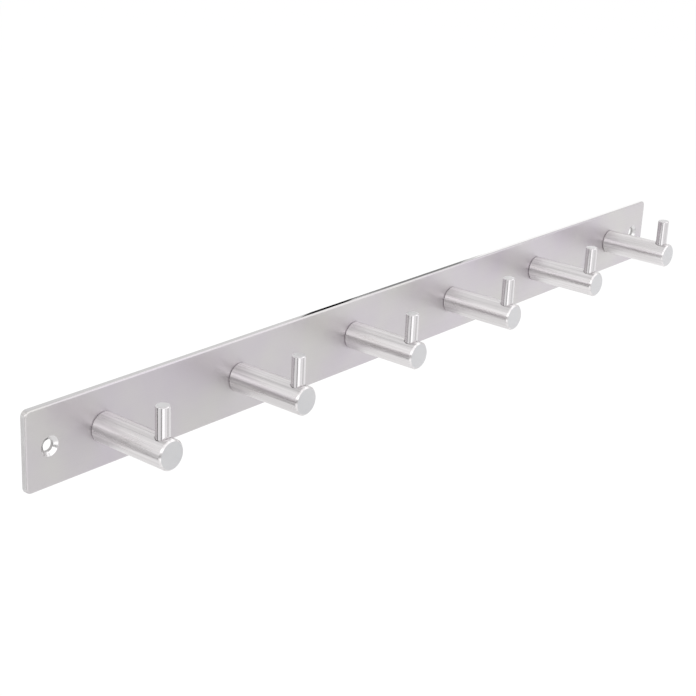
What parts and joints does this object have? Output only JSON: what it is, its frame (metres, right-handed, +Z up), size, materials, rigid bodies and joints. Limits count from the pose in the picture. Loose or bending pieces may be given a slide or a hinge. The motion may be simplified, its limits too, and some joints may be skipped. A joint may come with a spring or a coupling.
{
  "type": "wall coat rack",
  "caption": "Wall coat rack: a flat satin steel bar with round pegs standing off it, each with a small upright stop pin near its end, and a countersunk wall screw hole near each end.",
  "frame": {"origin": "middle of the plate's back face, which lies against the wall, halfway between the two wall holes", "axes": "+X along the plate, +Z up, the pegs point along -Y away from the wall"},
  "size_m": [0.54, 0.048, 0.0425],
  "materials": {
    "plate_steel": "satin stainless steel, finely ground, with softly eased front edges",
    "peg_steel": "satin stainless bar, brushed along its length, with a bright turned chamfer",
    "pin_steel": "fine satin stainless pin with a chamfered top",
    "screw_steel": "plain stainless countersunk screw"
  },
  "bodies": {
    "root": {"back_plate": "plate_steel", "peg_1": "peg_steel", "peg_2": "peg_steel", "peg_3": "peg_steel", "peg_4": "peg_steel", "peg_5": "peg_steel", "peg_6": "peg_steel", "stop_pin_1": "pin_steel", "stop_pin_2": "pin_steel", "stop_pin_3": "pin_steel", "stop_pin_4": "pin_steel", "stop_pin_5": "pin_steel", "stop_pin_6": "pin_steel", "peg_screws": "screw_steel"}
  },
  "joints": []
}
